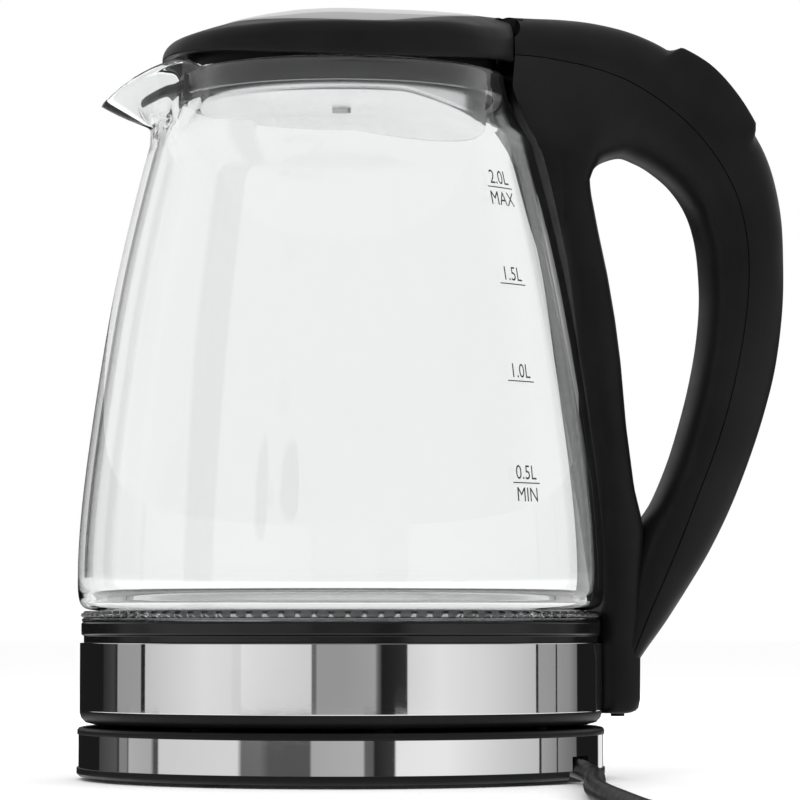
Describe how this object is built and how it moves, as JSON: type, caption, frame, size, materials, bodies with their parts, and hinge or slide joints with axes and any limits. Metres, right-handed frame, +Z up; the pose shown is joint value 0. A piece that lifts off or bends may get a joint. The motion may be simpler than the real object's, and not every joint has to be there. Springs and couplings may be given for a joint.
{
  "type": "electric kettle",
  "caption": "Cordless electric kettle: tapered glass jug with beak spout, hinged steel-topped lid and loop handle, on a round power base with its lead.",
  "frame": {"origin": "the point on the kettle's vertical centre line at table level, under the middle of the power base", "axes": "+Z up, +X towards the handle, -X towards the spout, +Y to the left when the handle points forward"},
  "size_m": [0.2583, 0.4397, 0.2439],
  "materials": {
    "black_plastic": "satin moulded black plastic",
    "gloss_black": "smooth black plastic",
    "polished_steel": "mirror-polished stainless steel",
    "brushed_steel": "fine brushed stainless steel",
    "clear_glass": "clear borosilicate glass",
    "clear_plastic": "clear beaded acrylic",
    "rubber": "matt black rubber",
    "silicone": "translucent silicone",
    "cord_pvc": "satin black PVC sheath",
    "brass": "plain brass",
    "spring_steel": "drawn spring wire",
    "zinc_screw": "zinc-plated screw",
    "nylon": "natural nylon",
    "circuit_board": "green circuit board",
    "element_sheath": "heat-tinted element sheath",
    "wire_red": "silicone-sleeved wire"
  },
  "bodies": {
    "base": {"base_feet": "rubber", "base_bottom_cover": "black_plastic", "base_trim_band": "polished_steel", "base_shell": "black_plastic", "base_screws": "zinc_screw", "base_connector": "gloss_black", "base_contacts": "brass", "base_leads": "wire_red", "cord_gland": "rubber", "power_cord": "cord_pvc", "cord_coil": "cord_pvc", "cord_tail": "cord_pvc", "cord_tie": "gloss_black", "plug_body": "cord_pvc", "plug_pins": "polished_steel"},
    "shutter": {"connector_shutter": "nylon"},
    "kettle": {"bottom_housing": "black_plastic", "steel_skirt": "polished_steel", "middle_ring": "gloss_black", "light_ring": "clear_plastic", "light_board": "circuit_board", "kettle_connector": "nylon", "kettle_contacts": "brass", "bimetal_control": "brass", "housing_screws": "zinc_screw", "heater_plate": "brushed_steel", "heating_element": "element_sheath", "jug_seal": "silicone", "glass_jug": "clear_glass", "neck_collar": "gloss_black", "spout_filter": "gloss_black", "filter_mesh": "brushed_steel", "handle_spine": "black_plastic", "handle_inner_shell": "black_plastic", "handle_cover": "black_plastic", "handle_screw": "zinc_screw", "handle_wiring": "wire_red", "steam_duct": "nylon", "steam_switch": "nylon", "hinge_pin": "brushed_steel", "latch_spring": "spring_steel"},
    "lid": {"lid_cover": "black_plastic", "lid_plate": "polished_steel", "lid_pan": "brushed_steel", "lid_seal": "silicone", "lid_screw": "zinc_screw", "lid_spring": "spring_steel"},
    "button": {"lid_button": "black_plastic"},
    "latch": {"latch": "nylon"},
    "rocker": {"switch_rocker": "black_plastic"}
  },
  "joints": [
    {"name": "swivel", "type": "hinge", "parent": "base", "child": "shutter", "pos_m": [0, 0, 0.024], "axis": [0, 0, 1], "continuous": true},
    {"name": "lift_off", "type": "slide", "parent": "shutter", "child": "kettle", "axis": [0, 0, 1], "range_m": [0, 0.08]},
    {"name": "lid_hinge", "type": "hinge", "parent": "kettle", "child": "lid", "pos_m": [0.047, 0, 0.238], "axis": [0, 1, 0], "range_deg": [0, 70]},
    {"name": "button_press", "type": "slide", "parent": "kettle", "child": "button", "axis": [-0.6401, 0, -0.7683], "range_m": [0, 0.0025], "stiffness_N_per_m": 600},
    {"name": "latch_slide", "type": "slide", "parent": "kettle", "child": "latch", "axis": [1, 0, 0], "range_m": [0, 0.0025], "deforming": ["latch_spring"]},
    {"name": "rocker_tip", "type": "hinge", "parent": "kettle", "child": "rocker", "pos_m": [0.12929, 0, 0.2125], "axis": [0, 1, 0], "range_deg": [0, 6]}
  ],
  "couplings": [
    {"joint": "latch_slide", "follows": "button_press", "ratio": 1}
  ]
}
